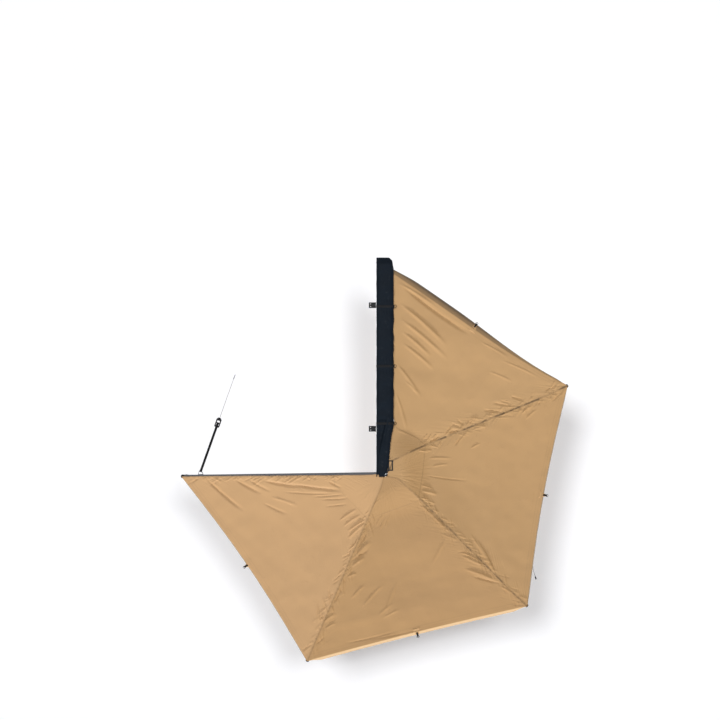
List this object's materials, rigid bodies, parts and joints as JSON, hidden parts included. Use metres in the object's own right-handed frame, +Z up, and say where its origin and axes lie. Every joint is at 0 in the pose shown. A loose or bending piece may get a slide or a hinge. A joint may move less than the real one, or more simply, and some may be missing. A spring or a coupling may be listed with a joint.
{
  "type": "vehicle side awning",
  "caption": "Swing-out side awning with folding arms on one rear pivot, drop-down legs, fabric canopy, zipped cover and a tie-down strap.",
  "frame": {"origin": "on the flat back face of the mounting rail, at its mid-length and mid-height", "axes": "+X points away from the vehicle, +Y forward along it, +Z up"},
  "size_m": [4.0684, 4.2381, 0.3905],
  "materials": {
    "aluminium": "satin anodised",
    "black_aluminium": "black anodised",
    "steel": "zinc plated",
    "black_steel": "black powder coat",
    "black_plastic": "moulded, matte",
    "rubber": "matte",
    "canopy_cloth": "ripstop, coated",
    "cover_cloth": "coated, heavy",
    "webbing": "woven webbing",
    "cord": "braided cord"
  },
  "bodies": {
    "case": {"back_rail": "aluminium", "rail_end_cap_front": "black_plastic", "rail_end_cap_rear": "black_plastic", "mount_bracket_front": "black_steel", "mount_bracket_rear": "black_steel", "mount_bolt_front": "steel", "mount_bolt_rear": "steel", "hub_bracket": "black_steel", "hub_pin": "steel", "hub_nut": "steel", "hub_loop": "black_steel", "canopy_clamp_bar": "aluminium", "cover_upper": "cover_cloth", "cover_lower": "cover_cloth", "stow_strap_front": "webbing", "stow_strap_middle": "webbing", "stow_strap_rear": "webbing", "stow_ring_front": "black_steel", "stow_ring_middle": "black_steel", "stow_ring_rear": "black_steel"},
    "zip": {"zip_slider": "steel"},
    "arm_1": {"arm_1_channel": "black_aluminium", "arm_1_knuckle": "black_steel", "arm_1_tip": "black_plastic", "canopy_panel_1": "canopy_cloth"},
    "leg_1": {"leg_1_outer": "aluminium"},
    "leg_1_extension": {"leg_1_inner": "aluminium", "leg_1_foot": "rubber"},
    "leg_1_lever": {"leg_1_cam": "black_plastic"},
    "arm_2": {"arm_2_channel": "black_aluminium", "arm_2_knuckle": "black_steel", "arm_2_tip": "black_plastic", "canopy_panel_2": "canopy_cloth", "guy_line": "webbing", "guy_tensioner": "black_plastic"},
    "leg_2": {"leg_2_outer": "aluminium"},
    "leg_2_extension": {"leg_2_inner": "aluminium", "leg_2_foot": "rubber"},
    "leg_2_lever": {"leg_2_cam": "black_plastic"},
    "arm_3": {"arm_3_channel": "black_aluminium", "arm_3_knuckle": "black_steel", "arm_3_tip": "black_plastic", "canopy_panel_3": "canopy_cloth"},
    "leg_3": {"leg_3_outer": "aluminium"},
    "leg_3_extension": {"leg_3_inner": "aluminium", "leg_3_foot": "rubber"},
    "leg_3_lever": {"leg_3_cam": "black_plastic"},
    "arm_4": {"arm_4_channel": "black_aluminium", "arm_4_knuckle": "black_steel", "arm_4_tip": "black_plastic", "canopy_panel_4": "canopy_cloth", "strap_anchor": "black_steel"},
    "leg_4": {"leg_4_outer": "aluminium"},
    "leg_4_extension": {"leg_4_inner": "aluminium", "leg_4_foot": "rubber"},
    "leg_4_lever": {"leg_4_cam": "black_plastic"},
    "tie_down": {"tie_strap": "webbing", "strap_buckle": "black_plastic", "strap_cord": "cord", "strap_hook": "steel"}
  },
  "joints": [
    {"name": "arm_1_swing", "type": "hinge", "parent": "case", "child": "arm_1", "pos_m": [0.0924, -1.116, 0], "axis": [0, 0, -1], "range_deg": [-64.4, 0], "deforming": ["canopy_panel_1"]},
    {"name": "leg_1_drop", "type": "hinge", "parent": "arm_1", "child": "leg_1", "pos_m": [2.00338, -0.20041, -0.0497], "axis": [0.4321, -0.9018, 0], "range_deg": [0, 90]},
    {"name": "leg_1_extend", "type": "slide", "parent": "leg_1", "child": "leg_1_extension", "axis": [-0.9018, -0.4321, 0], "range_m": [0, 0.765]},
    {"name": "leg_1_clamp", "type": "hinge", "parent": "leg_1", "child": "leg_1_lever", "pos_m": [1.00235, -0.68002, -0.0634], "axis": [-0.4321, 0.9018, 0], "range_deg": [0, 100]},
    {"name": "arm_2_swing", "type": "hinge", "parent": "arm_1", "child": "arm_2", "pos_m": [0.0924, -1.116, 0], "axis": [0, 0, -1], "range_deg": [-68.6, 0], "deforming": ["canopy_panel_2"]},
    {"name": "leg_2_drop", "type": "hinge", "parent": "arm_2", "child": "leg_2", "pos_m": [1.57997, -2.50319, -0.0159], "axis": [-0.682, -0.7314, 0], "range_deg": [0, 90]},
    {"name": "leg_2_extend", "type": "slide", "parent": "leg_2", "child": "leg_2_extension", "axis": [-0.7314, 0.682, 0], "range_m": [0, 0.765]},
    {"name": "leg_2_clamp", "type": "hinge", "parent": "leg_2", "child": "leg_2_lever", "pos_m": [0.76817, -1.74617, -0.0296], "axis": [0.682, 0.7314, 0], "range_deg": [0, 100]},
    {"name": "arm_3_swing", "type": "hinge", "parent": "arm_2", "child": "arm_3", "pos_m": [0.0924, -1.116, 0], "axis": [0, 0, -1], "range_deg": [-69.5, 0], "deforming": ["canopy_panel_3"]},
    {"name": "leg_3_drop", "type": "hinge", "parent": "arm_3", "child": "leg_3", "pos_m": [-0.71851, -3.0737, 0.0179], "axis": [-0.9239, 0.3827, 0], "range_deg": [0, 90]},
    {"name": "leg_3_extend", "type": "slide", "parent": "leg_3", "child": "leg_3_extension", "axis": [0.3827, 0.9239, 0], "range_m": [0, 0.765]},
    {"name": "leg_3_clamp", "type": "hinge", "parent": "leg_3", "child": "leg_3_lever", "pos_m": [-0.29373, -2.04819, 0.0042], "axis": [0.9239, -0.3827, 0], "range_deg": [0, 100]},
    {"name": "arm_4_swing", "type": "hinge", "parent": "arm_3", "child": "arm_4", "pos_m": [0.0924, -1.116, 0], "axis": [0, 0, -1], "range_deg": [-66.7, 0], "deforming": ["canopy_panel_4"]},
    {"name": "leg_4_drop", "type": "hinge", "parent": "arm_4", "child": "leg_4", "pos_m": [-2.02639, -1.14559, 0.0517], "axis": [-0.014, 0.9999, 0], "range_deg": [0, 90]},
    {"name": "leg_4_extend", "type": "slide", "parent": "leg_4", "child": "leg_4_extension", "axis": [0.9999, 0.014, 0], "range_m": [0, 0.765]},
    {"name": "leg_4_clamp", "type": "hinge", "parent": "leg_4", "child": "leg_4_lever", "pos_m": [-0.9165, -1.13009, 0.038], "axis": [0.014, -0.9999, 0], "range_deg": [0, 100]},
    {"name": "zip_slide", "type": "slide", "parent": "case", "child": "zip", "axis": [0, 1, 0], "range_m": [0, 1.5]},
    {"name": "tie_down_swing", "type": "hinge", "parent": "arm_4", "child": "tie_down", "pos_m": [-1.83808, -1.09495, 0.0502], "axis": [-0.9457, 0.325, 0], "range_deg": [0, 75.8]}
  ]
}
